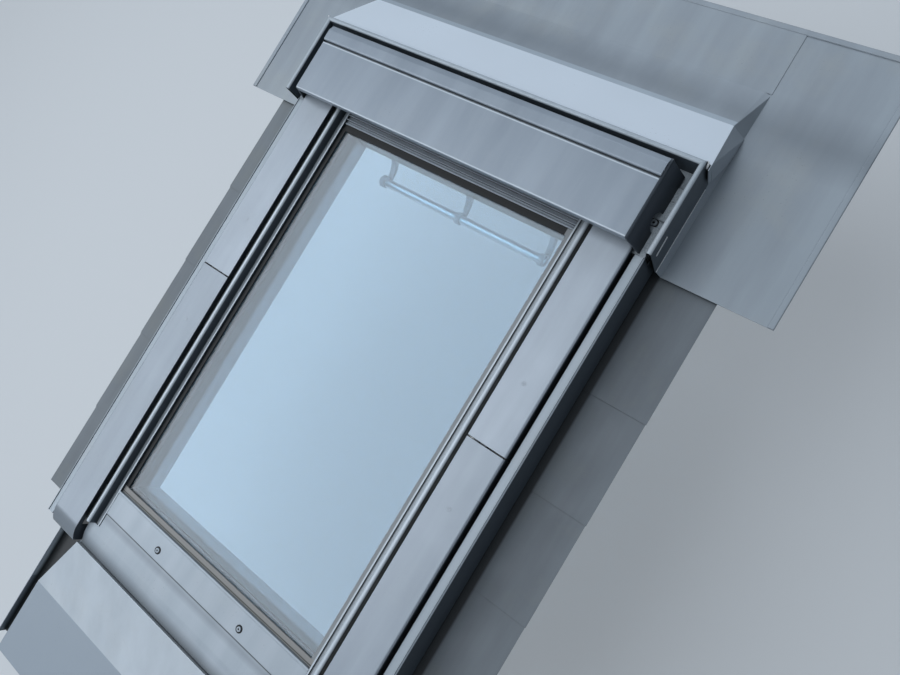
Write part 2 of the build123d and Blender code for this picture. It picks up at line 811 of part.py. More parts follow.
# Seats of the upper covers: plastic bridges on the frame stiles
upper_clip_places = (pivot_y + clip_from_split, hood_front - clip_from_end)
clip_outer = half_width - clip_setback
clip_inner = clip_outer - clip_seat_width
with BuildPart() as cover_clips:
    for side, sign in sides:
        for y in upper_clip_places:
            with BuildSketch(across(y + clip_width / 2)):
                bar(clip_inner, clip_outer, stile_depth, cover_under, sign)
                with Locations((sign * (clip_inner + clip_outer) / 2, (stile_depth + cover_under) / 2)):
                    Rectangle(clip_outer - clip_inner - 2 * clip_wall,
                              cover_under - stile_depth - 2 * clip_wall, mode=Mode.SUBTRACT)
            extrude(amount=clip_width)
save(cover_clips.part, "cover_clips")

# Seats of the lower covers: brackets on the sash stiles that reach over the frame
lower_clip_places = (pivot_y - clip_from_split, sash_foot + clip_from_end)
clip_leg = cover_inner + cover_wall + seat_gap
clip_end = cover_outer - cover_wall - seat_gap
clip_foot_end = sash_half - clip_setback
with BuildPart() as sash_clips:
    for side, sign in sides:
        for y in lower_clip_places:
            with BuildSketch(across(y + clip_width / 2)):
                polygon([
                    (clip_leg, sash_front), (clip_foot_end, sash_front),
                    (clip_foot_end, sash_front + clip_wall), (clip_leg + clip_wall, sash_front + clip_wall),
                    (clip_leg + clip_wall, cover_under - clip_wall), (clip_end, cover_under - clip_wall),
                    (clip_end, cover_under), (clip_leg, cover_under),
                ], sign)
            extrude(amount=clip_width)
save(sash_clips.part, "sash_clips")

# Hood: a front lip, a flat panel, a groove, and a ledge that slopes down at the back
groove_end = hood_step + hood_groove_width
ledge_top = hood_top + hood_ledge_rise
ledge_back = groove_end + hood_ledge_length
hood_back = ledge_back + hood_slope_run
hood_crown = [
    (hood_front, hood_top), (hood_step, hood_top), (hood_step, hood_top - hood_groove_depth),
    (groove_end, hood_top - hood_groove_depth), (groove_end, ledge_top), (ledge_back, ledge_top),
    (hood_back, ledge_top - hood_slope_drop), (hood_back, ledge_top - hood_back_height),
]
hood_front_foot = hood_top - hood_lip
with BuildPart() as hood:
    with BuildSketch(Plane.YZ.offset(-hood_half)):
        folded(
            [(hood_front + hood_lip_return, hood_front_foot), (hood_front, hood_front_foot)] + hood_crown,
            hood_wall, [0, hood_wall, 0, 0, 0, hood_wall, 2 * hood_wall, 2 * hood_wall],
        )
    extrude(amount=2 * hood_half)
save(hood.part, "hood")

# Hood ends: flared side plates whose foot is arched over the screw in the channel
hood_end_foot = channel_level + foam_height + seat_gap
hood_end_edge = half_width + hood_end_flare
hood_end_shoulder = hood_top - hood_end_top
for side, sign in sides:
    with BuildPart() as hood_end:
        with BuildSketch(across(hood_back)):
            polygon([
                (hood_half, hood_top), (hood_half, hood_end_shoulder), (hood_end_edge, hood_end_foot),
                (hood_end_edge + hood_end_wall, hood_end_foot),
                (half_width, hood_end_shoulder), (half_width, hood_top - hood_end_wall),
            ], sign)
        extrude(amount=hood_back - hood_front)
        with BuildSketch(Plane.YZ.offset(sign * hood_half)):
            polygon([
                (hood_front, hood_end_foot), (hood_front, hood_top), (ledge_back, hood_top),
                (hood_back, ledge_top - hood_slope_drop), (hood_back, hood_end_foot),
            ])
            with Locations((channel_screw_y, hood_end_foot)):
                Circle(hood_arch_radius, mode=Mode.SUBTRACT)
        extrude(amount=sign * (hood_end_edge + hood_end_wall - hood_half), mode=Mode.INTERSECT)
    save(hood_end.part, f"hood_end_{side}")

# Seats of the hood on the frame head
hood_clip_top = hood_top - hood_groove_depth - hood_wall
with BuildPart() as hood_clips:
    for x in (-hood_clip_spacing, 0, hood_clip_spacing):
        with BuildSketch(Plane.YZ.offset(x - clip_width / 2)):
            bar(head_face, half_length, stile_depth, hood_clip_top)
            with Locations(((head_face + half_length) / 2, (stile_depth + hood_clip_top) / 2)):
                Rectangle(head_wall - 2 * clip_wall, hood_clip_top - stile_depth - 2 * clip_wall,
                          mode=Mode.SUBTRACT)
        extrude(amount=clip_width)
save(hood_clips.part, "hood_clips")

# Legs of the rail around the hood: channel strip, rolled bead and outer face, mitred at the corners
roll_bends = [0, roll_bend, roll_bend]
leg_channel_end = leg_roll_inner - roll_lean
leg_face_foot = bead_crest - leg_face_height
for side, sign in sides:
    with BuildPart() as head_leg:
        with BuildSketch(across(rail_back)):
            folded([
                (strip_edge, channel_level), (leg_channel_end, channel_level),
                (leg_roll_inner, bead_crest), (leg_outer - flashing_wall, bead_crest - roll_fall),
                (leg_outer, leg_face_foot),
            ], flashing_wall, roll_bends, sign=sign)
        extrude(amount=rail_back - leg_foot)
        with BuildSketch(Plane.XY.offset(leg_face_foot)):
            polygon([
                (leg_outer, rail_back), (leg_outer - rail_back, 0), (leg_outer - rail_back, rail_back),
            ], sign)
        extrude(amount=leg_face_height, mode=Mode.SUBTRACT)
    save(head_leg.part, f"head_leg_{side}")

# Head rail behind the hood, with the same bead
rail_channel_end = rail_roll_front - roll_lean
with BuildPart() as head_rail:
    with BuildSketch(Plane.YZ.offset(-leg_outer)):
        folded([
            (half_length + seat_gap, channel_level), (rail_channel_end, channel_level),
            (rail_roll_front, bead_crest), (rail_back - flashing_wall, bead_crest - roll_fall),
            (rail_back, channel_level + roll_lean),
        ], flashing_wall, roll_bends)
    extrude(amount=2 * leg_outer)
    with BuildSketch(Plane.XY.offset(leg_face_foot)):
        for side, sign in sides:
            polygon([
                (leg_outer, rail_back), (leg_outer - rail_back, 0), (leg_outer, 0),
            ], sign)
    extrude(amount=leg_face_height, mode=Mode.SUBTRACT)
save(head_rail.part, "head_rail")

# Cleats that carry the legs, the heads of their screws, and foam strips in the channel
cleat_top = channel_level - flashing_wall
with BuildPart() as flashing_cleats:
    for side, sign in sides:
        with BuildSketch(across(channel_screw_y + cleat_half_length)):
            polygon([
                (half_width, cleat_top - cleat_leg), (half_width + cleat_wall, cleat_top - cleat_leg),
                (half_width + cleat_wall, cleat_top - cleat_wall),
                (leg_channel_end - cleat_wall, cleat_top - cleat_wall),
                (leg_channel_end - cleat_wall, cleat_top), (half_width, cleat_top),
            ], sign)
        extrude(amount=2 * cleat_half_length)
save(flashing_cleats.part, "flashing_cleats")

with BuildPart() as channel_screws:
    with BuildSketch(Plane.XY.offset(channel_level)):
        with Locations((-channel_screw_x, channel_screw_y), (channel_screw_x, channel_screw_y)):
            Circle(channel_screw_head)
    extrude(amount=channel_screw_head_height)
save(channel_screws.part, "channel_screws")

foam_spans = (
    (leg_foot, channel_screw_y - foam_screw_gap),
    (channel_screw_y + foam_screw_gap, channel_screw_y + foam_joint - seat_gap),
    (channel_screw_y + foam_joint + seat_gap, half_length),
)
with BuildPart() as channel_strips:
    with BuildSketch(Plane.XY.offset(channel_level)):
        for side, sign in sides:
            for foot, head in foam_spans:
                bar(strip_edge + flashing_wall, leg_channel_end - flashing_wall, foot, head, sign)
    extrude(amount=foam_height)
save(channel_strips.part, "channel_strips")

# Head flashing: a hipped collar and saddle, rounded tabs beside the legs, and wings with upstands
collar_edge = rail_back + seal_gap
upstand_x = leg_outer - 2 * flashing_wall - seal_gap
wing_bend_x = upstand_x + upstand_flare
wing_under = slate_level - flashing_wall
saddle_foot = half_length + saddle_reach
saddle_level = slate_level + flashing_wall
tab_front = rail_back - tab_reach
tab_foot = rail_back + tab_foot_reach
tab_level = (collar_level + slate_level) / 2
tab_fall = (tab_level - slate_level) / (tab_foot - tab_front)
tab_end = tab_level - tab_fall * (collar_edge + flashing_wall - tab_front)
crease_y = half_length + collar_reach
collar_head_half = half_width + collar_head_outset
rail_corner = (collar_head_half, collar_edge, collar_level)
rail_foot = (wing_bend_x, collar_edge, wing_under)
crease_corner = (half_width + collar_foot_outset, crease_y, collar_foot_level)
crease_foot = ((wing_bend_x + saddle_edge) / 2, crease_y, wing_under)
saddle_corner = (half_width + saddle_outset, saddle_foot, saddle_level)
saddle_foot_corner = (saddle_edge, saddle_foot, wing_under)
collar_shape = (
    ((collar_edge, collar_level), (crease_y, collar_foot_level)), wing_under,
    ((rail_corner, rail_foot, crease_foot), (rail_corner, crease_corner, crease_foot)),
)
saddle_shape = (
    ((crease_y, collar_foot_level), (saddle_foot, saddle_level)), wing_under,
    ((crease_corner, crease_foot, saddle_foot_corner), (crease_corner, saddle_corner, saddle_foot_corner)),
)
collar_block = below_hips(*collar_shape, 0)
collar_hollow = below_hips(*collar_shape, flashing_wall)
saddle_block = below_hips(*saddle_shape, 0)
saddle_hollow = below_hips(*saddle_shape, flashing_wall)
with BuildPart() as head_flashing:
    add(collar_block)
    add(saddle_block)
    add(collar_hollow, mode=Mode.SUBTRACT)
    add(saddle_hollow, mode=Mode.SUBTRACT)
    with BuildSketch(across(collar_edge)):
        polygon([
            (-wing_bend_x, wing_under), (-collar_head_half, collar_level),
            (collar_head_half, collar_level), (wing_bend_x, wing_under),
        ])
    extrude(amount=-flashing_wall)
    for side, sign in sides:
        with BuildSketch(Plane.YZ.offset(sign * upstand_x)):
            polygon([
                (tab_front, wing_under), (tab_front, tab_level), (tab_foot, slate_level), (tab_foot, wing_under),
            ])
        extrude(amount=sign * (saddle_edge - upstand_x), mode=Mode.SUBTRACT)
    with BuildSketch(Plane.XY.offset(saddle_level)):
        bar(-saddle_edge, saddle_edge, saddle_foot, flashing_head)
    extrude(amount=-flashing_wall)
    with BuildSketch(Plane.XY.offset(slate_level)):
        bar(-wing_half_width, wing_half_width, saddle_foot, flashing_head)
        for side, sign in sides:
            bar(wing_bend_x - flashing_wall, wing_half_width, collar_edge, saddle_foot, sign)
    extrude(amount=-flashing_wall)
    for side, sign in sides:
        with BuildSketch(across(tab_foot)):
            folded([
                (upstand_x, upstand_top), (upstand_x, slate_level + upstand_flare_height),
                (wing_bend_x, slate_level), (wing_half_width, slate_level),
            ], flashing_wall, sign=sign)
        extrude(amount=tab_foot - wing_foot)
        with BuildSketch(Plane.YZ.offset(sign * collar_head_half)):
            with BuildLine() as tab:
                FilletPolyline((collar_edge + flashing_wall, collar_level - flashing_wall),
                               (collar_edge, collar_level), (tab_front, collar_level),
                               (tab_front, tab_level), (collar_edge + flashing_wall, tab_end),
                               radius=[0, 0, 0, tab_bend, 0], close=True)
            make_face()
        extrude(amount=-sign * flashing_wall)
save(head_flashing.part, "head_flashing")

# Side flashings: inner leg on the frame, riser, strip with a fine rib, and outer face
shelf_level = flange_foot - side_leg_drop
face_foot = slate_level + seat_gap
strip_head_y = leg_foot - seal_gap
strip_low = cover_foot + strip_foot_setback
strip_rib_end = strip_outer - strip_rib_inset
for side, sign in sides:
    with BuildPart() as side_flashing:
        with BuildSketch(across(strip_head_y)):
            folded([
                (half_width + seat_gap, shelf_level - side_leg_height), (half_width + seat_gap, shelf_level),
                (strip_inner - strip_riser_lean, shelf_level), (strip_inner, strip_top),
                (strip_outer, strip_top - strip_fall), (strip_outer + strip_face_lean, face_foot),
            ], flashing_wall, [0, 0, 0, flashing_wall], sign=sign)
            bar(strip_rib_end - strip_rib_width, strip_rib_end,
                strip_top - strip_fall - flashing_wall / 2, strip_top + strip_rib_width / 2, sign)
        extrude(amount=strip_head_y - strip_low)
        with BuildSketch(across(strip_head_y + strip_tongue)):
            folded([
                (strip_outer + strip_fall, upstand_top - strip_tongue),
                (strip_outer + strip_face_lean, face_foot),
            ], flashing_wall, sign=sign)
        extrude(amount=strip_tongue + flashing_wall)
    save(side_flashing.part, f"side_flashing_{side}")

# Soakers: L-shaped sheets, each lying over the one below it
soaker_run = wing_foot + soaker_tuck - cover_foot
soaker_length = (soaker_run + (soaker_count - 1) * soaker_overlap) / soaker_count
soaker_pitch = soaker_length - soaker_overlap
soaker_inner = strip_outer - soaker_inner_inset
soaker_flange = wing_half_width - soaker_setback - soaker_inner
for side, sign in sides:
    with BuildPart() as soakers:
        for index in range(soaker_count):
            slant = Plane(
                origin=(sign * soaker_inner, cover_foot + soaker_length + index * soaker_pitch, soaker_level),
                x_dir=(1, sign * soaker_slant, 0),
                z_dir=(sign * soaker_slant, -1, soaker_slant),
            )
            with BuildSketch(slant):
                folded([
                    (0, soaker_upstand), (0, 0), (soaker_flange, 0),
                ], soaker_wall, side=1, sign=sign)
            extrude(amount=soaker_length)
    save(soakers.part, f"soakers_{side}")

# Apron: hipped slope, skirt, side channels with an upright fold, and the flange that hooks on the sill
hip_top = half_width - apron_hip_inset
crease_half = half_width + apron_crease_width
fold_half = half_width + apron_fold_width
hip_foot = hip_top + apron_hip_lean * (apron_top - apron_channel_level)
skirt_foot = crease_half + apron_hip_lean * (apron_crease_level - apron_channel_level)
channel_under = apron_channel_level - flashing_wall
apron_shape = (
    ((apron_head, apron_top), (apron_crease, apron_crease_level)), apron_channel_level,
    (((hip_top, apron_head, apron_top), (hip_foot, apron_head, apron_channel_level),
      (crease_half, apron_crease, apron_crease_level)),),
)
apron_block = below_hips(*apron_shape, 0)
apron_hollow = below_hips(*apron_shape, flashing_wall)
with BuildPart() as apron:
    add(apron_block)
    add(apron_hollow, mode=Mode.SUBTRACT)
    for inset, mode in ((0, Mode.ADD), (flashing_wall, Mode.SUBTRACT)):
        skirt_top = apron_crease_level - inset
        skirt_level = apron_channel_level - inset
        with BuildSketch(across(apron_crease)):
            polygon([
                (inset - skirt_foot, skirt_level), (inset - crease_half, skirt_top),
                (crease_half - inset, skirt_top), (skirt_foot - inset, skirt_level),
            ])
        extrude(amount=apron_crease - apron_foot, mode=mode)
    with BuildSketch(Plane.XY.offset(apron_channel_level)):
        for side, sign in sides:
            polygon([
                (hip_foot - flashing_wall, apron_head), (fold_half, apron_head),
                (fold_half, apron_foot + apron_fold_setback),
                (skirt_foot - flashing_wall, apron_foot + apron_fold_setback),
                (skirt_foot - flashing_wall, apron_crease),
            ], sign)
            bar(half_width + seat_gap, fold_half, apron_head, apron_head + apron_tongue, sign)
    extrude(amount=-flashing_wall)
    with BuildSketch(Plane.XY.offset(channel_under)):
        for side, sign in sides:
            bar(fold_half, fold_half + flashing_wall, apron_head, apron_foot + apron_fold_setback, sign)
    extrude(amount=apron_fold_top - channel_under)
    with BuildSketch(Plane.YZ.offset(-hip_top)):
        folded([
            (apron_head, apron_top), (apron_head, apron_flange_level),
            (-half_length - seat_gap, apron_flange_level),
        ], flashing_wall, side=1)
    extrude(amount=2 * hip_top)
save(apron.part, "apron")

# Roof brackets, each with a screw into the stile
for end, row in (("top", 1), ("bottom", -1)):
    for side, sign in sides:
        with BuildPart() as bracket:
            with BuildSketch(across(row * bracket_y + bracket_width / 2)):
                folded([
                    (half_width + bracket_wall, bracket_foot), (half_width + bracket_wall, bracket_seat),
                    (half_width + bracket_reach, bracket_seat),
                ], bracket_wall, side=1, sign=sign)
            extrude(amount=bracket_width)
            with BuildSketch(Plane.XY.offset(bracket_seat)):
                with Locations((sign * (half_width + bracket_hole_reach), row * bracket_y)):
                    Circle(bracket_hole_radius)
            extrude(amount=bracket_wall, mode=Mode.SUBTRACT)
            with BuildSketch(Plane.YZ.offset(sign * half_width)):
                with Locations((row * bracket_y, bracket_screw_z)):
                    Circle(wood_screw_radius + screw_clearance)
            extrude(amount=sign * bracket_wall, mode=Mode.SUBTRACT)
            flange_corners = bracket.edges().filter_by(Axis.Z).sort_by(Axis.X)
            chamfer(flange_corners[-2:] if sign > 0 else flange_corners[:2], length=bracket_corner)
        save(bracket.part, f"bracket_{end}_{side}")

with BuildPart() as bracket_screws:
    for side, sign in sides:
        face = Plane.YZ.offset(sign * (half_width + bracket_wall))
        with BuildSketch(face):
            with Locations((-bracket_y, bracket_screw_z), (bracket_y, bracket_screw_z)):
                RegularPolygon(wood_screw_head, 6)
        extrude(amount=sign * wood_screw_head_height)
        with BuildSketch(face):
            with Locations((-bracket_y, bracket_screw_z), (bracket_y, bracket_screw_z)):
                Circle(wood_screw_radius)
        extrude(amount=-sign * wood_screw_length)
save(bracket_screws.part, "bracket_screws")

# Ventilation flap, hinged on pins in the sash stiles at its rear edge
flap_half = sash_inner - flap_side_gap
flap_radius = flap_wall / 2
flap_under = flap_axis_z - flap_radius
with BuildPart() as vent_flap:
    with BuildSketch(Plane.YZ.offset(-flap_half)):
        bar(flap_front, flap_axis_y, flap_under, flap_axis_z + flap_radius)
        with Locations((flap_axis_y, flap_axis_z)):
            Circle(flap_radius)
    extrude(amount=2 * flap_half)
    with BuildSketch(Plane.YZ.offset(-flap_half - flap_pin_length)):
        with Locations((flap_axis_y, flap_axis_z)):
            Circle(flap_pin_radius)
    extrude(amount=2 * (flap_half + flap_pin_length))
save(vent_flap.part, "vent_flap")

with BuildPart() as control_bar:
    with BuildSketch(Plane.YZ.offset(-bar_half_length)):
        with Locations((bar_y, bar_z)):
            Circle(bar_radius)
            Circle(bar_radius - bar_wall, mode=Mode.SUBTRACT)
    extrude(amount=2 * bar_half_length)
save(control_bar.part, "control_bar")

# Brackets between the flap and the bar: a ring round the bar and a curved arm
ring_inner = bar_radius + screw_clearance
ring_outer = ring_inner + ring_wall
arm_end = flap_front + arm_foot_end
arm_start = flap_front + arm_foot_start
arm_low = bar_z - ring_outer
arm_high = bar_z - ring_inner
outer_mid = (bar_y + 0.75 * (arm_end - bar_y), arm_low + 0.28 * (flap_under - arm_low))
inner_mid = (bar_y + 0.7 * (arm_start - bar_y), arm_high + 0.32 * (flap_under - arm_high))
with BuildPart() as bar_brackets:
    for x in (-bar_bracket_spacing, 0, bar_bracket_spacing):
        with BuildSketch(Plane.YZ.offset(x - bar_bracket_width / 2)):
            with Locations((bar_y, bar_z)):
                Circle(ring_outer)
            with BuildLine() as arm:
                ThreePointArc((bar_y, arm_low), outer_mid, (arm_end, flap_under))
                Line((arm_end, flap_under), (arm_start, flap_under))
                ThreePointArc((arm_start, flap_under), inner_mid, (bar_y, arm_high))
                Line((bar_y, arm_high), (bar_y, arm_low))
            make_face()
            with Locations((bar_y, bar_z)):
                Circle(ring_inner, mode=Mode.SUBTRACT)
        extrude(amount=bar_bracket_width)
save(bar_brackets.part, "bar_brackets")

# Latch: case in the top rail and the bolt, drawn back
with BuildPart() as latch_case:
    with BuildSketch(across(sash_head)):
        with Locations((0, latch_z)):
            Rectangle(2 * latch_case_half_width, latch_case_height)
    extrude(amount=latch_case_depth)
    with BuildSketch(across(sash_head)):
        with Locations((0, latch_z)):
            Rectangle(2 * (latch_half_width + bolt_gap), latch_height + 2 * bolt_gap)
    extrude(amount=latch_length + latch_case_play, mode=Mode.SUBTRACT)
save(latch_case.part, "latch_case")

with BuildPart() as latch_bolt:
    with BuildSketch(across(sash_head - bolt_gap)):
        with Locations((0, latch_z)):
            Rectangle(2 * latch_half_width, latch_height)
    extrude(amount=latch_length)
    nose = latch_bolt.faces().sort_by(Axis.Y)[-1].edges().sort_by(Axis.Z)[0]
    chamfer(nose, length=latch_nose)
save(latch_bolt.part, "latch_bolt")

# Barrel bolt in its housing, drawn back, with a knob towards the room
with BuildPart() as barrel_housing:
    with BuildSketch(Plane.YZ.offset(sash_half)):
        with Locations((barrel_y, barrel_z)):
            Rectangle(2 * housing_half, 2 * housing_half)
            Circle(barrel_radius + barrel_clearance, mode=Mode.SUBTRACT)
    extrude(amount=-barrel_housing_length)
    with BuildSketch(Plane.XY.offset(barrel_z - housing_half)):
        bar(knob_x - knob_radius - knob_play, knob_x + barrel_travel + knob_radius + knob_play,
            barrel_y - knob_radius - knob_play, barrel_y + knob_radius + knob_play)
    extrude(amount=housing_half, mode=Mode.SUBTRACT)
save(barrel_housing.part, "barrel_housing")

with BuildPart() as barrel_bolt:
    with BuildSketch(Plane.YZ.offset(sash_half - bolt_gap)):
        with Locations((barrel_y, barrel_z)):
            Circle(barrel_radius)
    extrude(amount=-(barrel_housing_length - barrel_travel / 2))
    with BuildSketch(Plane((knob_x, barrel_y, barrel_z))):
        Circle(knob_radius)
    extrude(amount=-(barrel_z - sash_back + knob_reach))
save(barrel_bolt.part, "barrel_bolt")
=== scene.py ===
import math

import bmesh
import bpy
from mathutils import Matrix, Vector


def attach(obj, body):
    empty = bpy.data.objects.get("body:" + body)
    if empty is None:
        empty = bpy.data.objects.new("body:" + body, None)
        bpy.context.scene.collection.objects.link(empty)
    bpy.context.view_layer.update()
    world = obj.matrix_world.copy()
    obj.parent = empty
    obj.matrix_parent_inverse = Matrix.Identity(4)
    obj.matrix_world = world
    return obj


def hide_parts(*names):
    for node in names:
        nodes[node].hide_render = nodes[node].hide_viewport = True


# Roof skylight: finishes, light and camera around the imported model.
# Metres; X runs across the window, Y up the slope, Z out of the roof.

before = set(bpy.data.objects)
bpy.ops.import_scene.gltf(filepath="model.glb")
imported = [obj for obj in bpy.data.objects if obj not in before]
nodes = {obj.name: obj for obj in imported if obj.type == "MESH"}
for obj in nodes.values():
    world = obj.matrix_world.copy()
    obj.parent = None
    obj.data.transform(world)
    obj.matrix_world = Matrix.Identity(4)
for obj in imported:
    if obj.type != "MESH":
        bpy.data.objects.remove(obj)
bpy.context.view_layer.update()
MM = 0.001

# Real sizes of the patterns in the finishes
STREAK_WIDTH = 45 * MM
STREAK_STRETCH = (1.0, 0.12, 1.0)
BLOTCH_SIZE = 110 * MM
GRIT_SPACING = 6 * MM
FOLD_SHADE_REACH = 18 * MM
PEEL_WIDTH = 1.9 * MM
PEEL_DEPTH = 0.2 * MM
HAZE_SIZE = 200 * MM
MOTTLE_SIZE = 17 * MM
# The stretch turns this size into grain 3 mm wide and 44 mm long
TIMBER_SIZE = 110 * MM
TIMBER_STRETCH = (40.0, 2.5, 40.0)
TIMBER_DEPTH = 0.3 * MM

# Where painted light and shade, dirt and wear lie: an axis, from, to, and for some the softness of both ends
COVER_GAP_SHADE = ("Y", 0.0256, 0.0284, 0.0004)
COVER_FOOT_SHADE = ("Y", -0.5300, -0.4850, 0.0030)
HOOD_LIP_HIGHLIGHT = ("Y", 0.3786, 0.3802, 0.0005)
HOOD_LEDGE_HIGHLIGHT = ("Y", 0.4704, 0.4720, 0.0004)
LEFT_GUTTER_SHADE = ("X", -0.3790, -0.3400, 0.0020)
RIGHT_GUTTER_SHADE = ("X", 0.3400, 0.3720, 0.0020)
STRIP_CREASE_SHADE = ("Y", -0.4440, -0.4418, 0.0007)
STRIP_STEP_SHADOW = ("Y", -0.4560, -0.4440, 0.0050)
STRIP_FOOT_SHADE = ("Y", -0.5400, -0.5070, 0.0140)
HIP_TO_HIP = ("X", -0.3740, 0.3740)
COLLAR_SLOPE = ("Y", 0.500, 0.6262)
COLLAR_CREASE = ("Y", 0.6262, 0.6345)
SADDLE_TROUGH = ("Y", 0.6300, 0.6800, 0.0300)
CHANNEL_FLOOR = ("Z", 0.0, 0.0535, 0.004)
APRON_SKIRT = ("Y", -0.8300, -0.6712)
GASKET_FOOT = ("Y", -0.4020, -0.3840)
GASKET_RIGHT = ("X", 0.2280, 0.2440)
GASKET_JOINT = ("Y", -0.3940, -0.3926, 0.0004)


def colour(hex_value):
    """sRGB hex as linear RGBA."""
    parts = [int(hex_value[i:i + 2], 16) / 255 for i in (1, 3, 5)]
    return [c / 12.92 if c <= 0.04045 else ((c + 0.055) / 1.055) ** 2.4 for c in parts] + [1.0]


def add(tree, kind, inputs=None, **settings):
    """Adds a node; an input is a value or the output socket that feeds it."""
    node = tree.nodes.new(kind)
    for name, value in settings.items():
        setattr(node, name, value)
    for name, value in (inputs or {}).items():
        if isinstance(value, bpy.types.NodeSocket):
            tree.links.new(value, node.inputs[name])
        else:
            node.inputs[name].default_value = value
    return node


def ramp(node, *stops):
    """Sets a colour ramp's two stops, given as (place, hex)."""
    for element, (place, hex_value) in zip(node.color_ramp.elements, stops):
        element.position = place
        element.color = colour(hex_value)
    return node.outputs["Color"]


def finish_material(name):
    """A new material with its surface shader, ready for inputs."""
    material = bpy.data.materials.new(name)
    material.use_nodes = True
    tree = material.node_tree
    shader = tree.nodes["Principled BSDF"]
    return material, tree, shader


def object_place(tree, scale=(1, 1, 1)):
    """Object coordinates, stretched for patterns that run along a piece."""
    place = add(tree, "ShaderNodeTexCoord").outputs["Object"]
    return add(tree, "ShaderNodeMapping", {"Vector": place, "Scale": scale}).outputs["Vector"]


def soft_edges(tree, radius):
    """Rounds the look of folded and cut edges by a real radius."""
    return add(tree, "ShaderNodeBevel", {"Radius": radius}, samples=6).outputs["Normal"]


def window(tree, axis, low, high, soft=0.0006):
    """1 between two places along an object axis, 0 outside them."""
    place = add(tree, "ShaderNodeTexCoord").outputs["Object"]
    along = add(tree, "ShaderNodeSeparateXYZ", {"Vector": place}).outputs[axis]
    rise = add(tree, "ShaderNodeMapRange", {"Value": along, "From Min": low - soft, "From Max": low + soft})
    fall = add(tree, "ShaderNodeMapRange", {"Value": along, "From Min": high + soft, "From Max": high - soft})
    return overlap(tree, rise.outputs["Result"], fall.outputs["Result"])


def facing_up(tree, low, high):
    """1 on faces turned up, 0 on standing ones; with low above high it is the other way round."""
    normal = add(tree, "ShaderNodeTexCoord").outputs["Normal"]
    along = add(tree, "ShaderNodeSeparateXYZ", {"Vector": normal}).outputs["Z"]
    turned = add(tree, "ShaderNodeMapRange", {"Value": along, "From Min": low, "From Max": high})
    return turned.outputs["Result"]


def overlap(tree, zone, other):
    """The part that two zones share; a number as the other weakens the zone."""
    return add(tree, "ShaderNodeMath", {0: zone, 1: other}, operation="MULTIPLY").outputs["Value"]


def either(tree, zone, other):
    """What at least one of two zones covers."""
    return add(tree, "ShaderNodeMath", {0: zone, 1: other}, operation="MAXIMUM").outputs["Value"]


def mixed(tree, factor, under, over):
    """Lays one colour over another by a factor."""
    blend = add(tree, "ShaderNodeMix", {"Factor": factor}, data_type="RGBA")
    for socket, value in ((blend.inputs["A"], under), (blend.inputs["B"], over)):
        if isinstance(value, bpy.types.NodeSocket):
            tree.links.new(value, socket)
        else:
            socket.default_value = colour(value)
    return blend.outputs["Result"]


def with_zones(tree, body, zones):
    """Lays the colour of each zone over the body colour, one after another."""
    for zone, zone_colour in zones:
        body = mixed(tree, zone(tree), body, zone_colour)
    return body


def coated_sheet(name, light, dark, dust, roughness, edge_mm, dust_amount=0.35, zones=(), fold_shade_amount=0.85):
    """Coil-coated aluminium: satin polyester with rain streaks down the slope, dust, and painted shade in its
    folds.
    """
    material, tree, shader = finish_material(name)
    place = object_place(tree)
    streaks = add(tree, "ShaderNodeTexNoise", {"Vector": object_place(tree, STREAK_STRETCH),
                                               "Scale": 1 / STREAK_WIDTH, "Detail": 4.0, "Roughness": 0.55})
    tone = ramp(add(tree, "ShaderNodeValToRGB", {"Fac": streaks.outputs["Fac"]}), (0.3, dark), (0.7, light))
    blotches = add(tree, "ShaderNodeTexNoise", {"Vector": place, "Scale": 1 / BLOTCH_SIZE, "Detail": 7.0,
                                                "Roughness": 0.62})
    dust_mask = add(tree, "ShaderNodeMapRange", {"Value": blotches.outputs["Fac"], "From Min": 0.5,
                                                 "From Max": 0.78, "To Max": dust_amount})
    body = with_zones(tree, mixed(tree, dust_mask.outputs["Result"], tone, dust), zones)
    # Specks of grit, a millimetre or less across
    specks = add(tree, "ShaderNodeTexVoronoi", {"Vector": place, "Scale": 1 / GRIT_SPACING,
                                                "Randomness": 1.0})
    speck_mask = add(tree, "ShaderNodeMapRange", {"Value": specks.outputs["Distance"], "From Min": 0.06,
                                                  "From Max": 0.12, "To Min": 0.5, "To Max": 0.0})
    sparse = add(tree, "ShaderNodeMapRange", {"Value": blotches.outputs["Fac"], "From Min": 0.52,
                                              "From Max": 0.62})
    body = mixed(tree, overlap(tree, speck_mask.outputs["Result"], sparse.outputs["Result"]), body, "#4a4d4b")
    # Painted shade in folds and where sheets meet, from ambient occlusion
    fold_occlusion = add(tree, "ShaderNodeAmbientOcclusion", {"Distance": FOLD_SHADE_REACH}, samples=8)
    recess_shade = add(tree, "ShaderNodeMapRange", {"Value": fold_occlusion.outputs["AO"], "From Min": 0.25, "From Max": 0.8,
                                            "To Min": fold_shade_amount, "To Max": 0.0})
    body = mixed(tree, recess_shade.outputs["Result"], body, "#1d2326")
    tree.links.new(body, shader.inputs["Base Color"])
    gloss = add(tree, "ShaderNodeMapRange", {"Value": blotches.outputs["Fac"], "From Min": 0.3,
                                             "From Max": 0.75, "To Min": roughness - 0.05,
                                             "To Max": roughness + 0.14})
    tree.links.new(gloss.outputs["Result"], shader.inputs["Roughness"])
    peel = add(tree, "ShaderNodeTexNoise", {"Vector": place, "Scale": 1 / PEEL_WIDTH, "Detail": 2.0})
    bump = add(tree, "ShaderNodeBump", {"Height": peel.outputs["Fac"], "Strength": 0.06,
                                        "Distance": PEEL_DEPTH, "Normal": soft_edges(tree, edge_mm * MM)})
    tree.links.new(bump.outputs["Normal"], shader.inputs["Normal"])
    shader.inputs["Metallic"].default_value = 0.15
    return material


